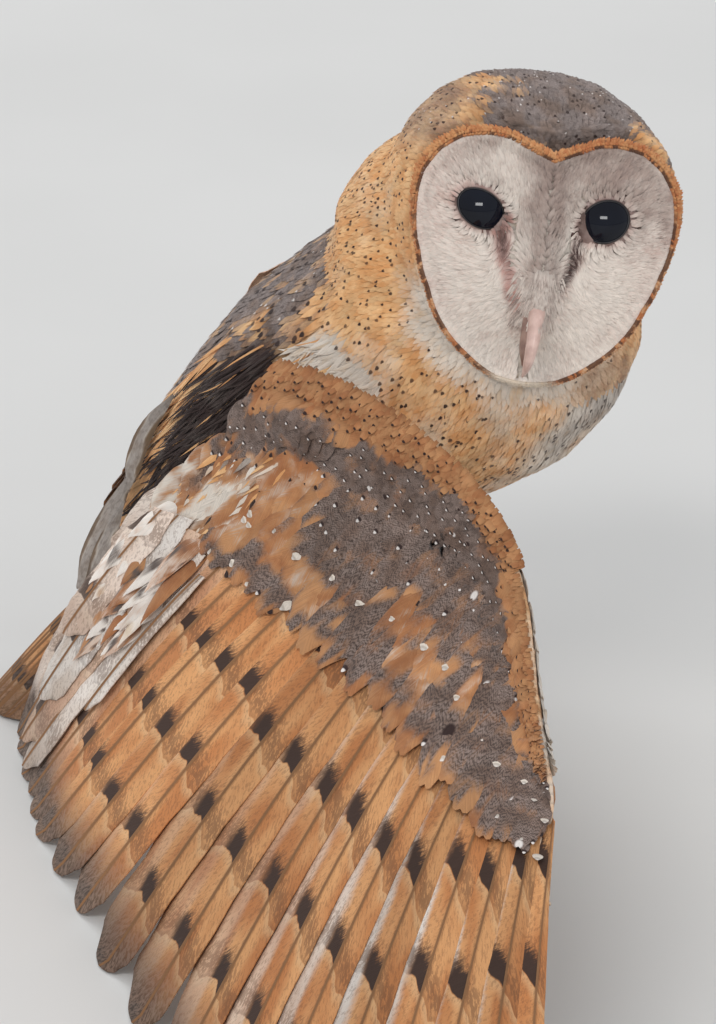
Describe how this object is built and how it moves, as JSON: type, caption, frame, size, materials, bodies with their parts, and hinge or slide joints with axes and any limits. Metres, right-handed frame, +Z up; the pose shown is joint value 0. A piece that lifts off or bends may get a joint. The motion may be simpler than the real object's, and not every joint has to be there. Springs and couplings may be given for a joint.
{
  "type": "barn owl",
  "caption": "Life-size still model of a standing barn owl with one wing let down and spread and its heart-shaped face turned to the side.",
  "frame": {"origin": "on the floor, under the middle of the model's bounding box", "axes": "+Z up; -Y is the side that the face looks to and the right wing is spread to; the breast points between +X and -Y"},
  "size_m": [0.2068, 0.4254, 0.2371],
  "materials": {
    "plumage_white": "soft short face and leg feathers",
    "plumage_gold": "soft golden body feathers with small dark spots",
    "plumage_grey": "soft grey vermiculated covert feathers",
    "flight_feather": "golden flight feathers with dark bars",
    "eye": "wet black gloss",
    "bill_horn": "smooth pale horn",
    "toe_skin": "scaly skin",
    "claw_horn": "dark polished horn"
  },
  "bodies": {
    "root": {"bill_lower": "bill_horn", "bill_upper": "bill_horn", "claw_left_1": "claw_horn", "claw_left_2": "claw_horn", "claw_left_3": "claw_horn", "claw_left_4": "claw_horn", "claw_right_1": "claw_horn", "claw_right_2": "claw_horn", "claw_right_3": "claw_horn", "claw_right_4": "claw_horn", "eye_left": "eye", "eye_right": "eye", "foot_left": "toe_skin", "foot_right": "toe_skin", "head": "plumage_white", "leg_left": "plumage_white", "leg_right": "plumage_white", "neck": "plumage_gold", "tail": "flight_feather", "trunk": "plumage_gold", "wing_left_arm": "plumage_grey", "wing_left_hand": "plumage_grey", "wing_left_primaries": "flight_feather", "wing_left_secondaries": "flight_feather", "wing_right_arm": "plumage_grey", "wing_right_hand": "plumage_grey", "wing_right_primaries": "flight_feather", "wing_right_secondaries": "flight_feather"}
  },
  "joints": []
}
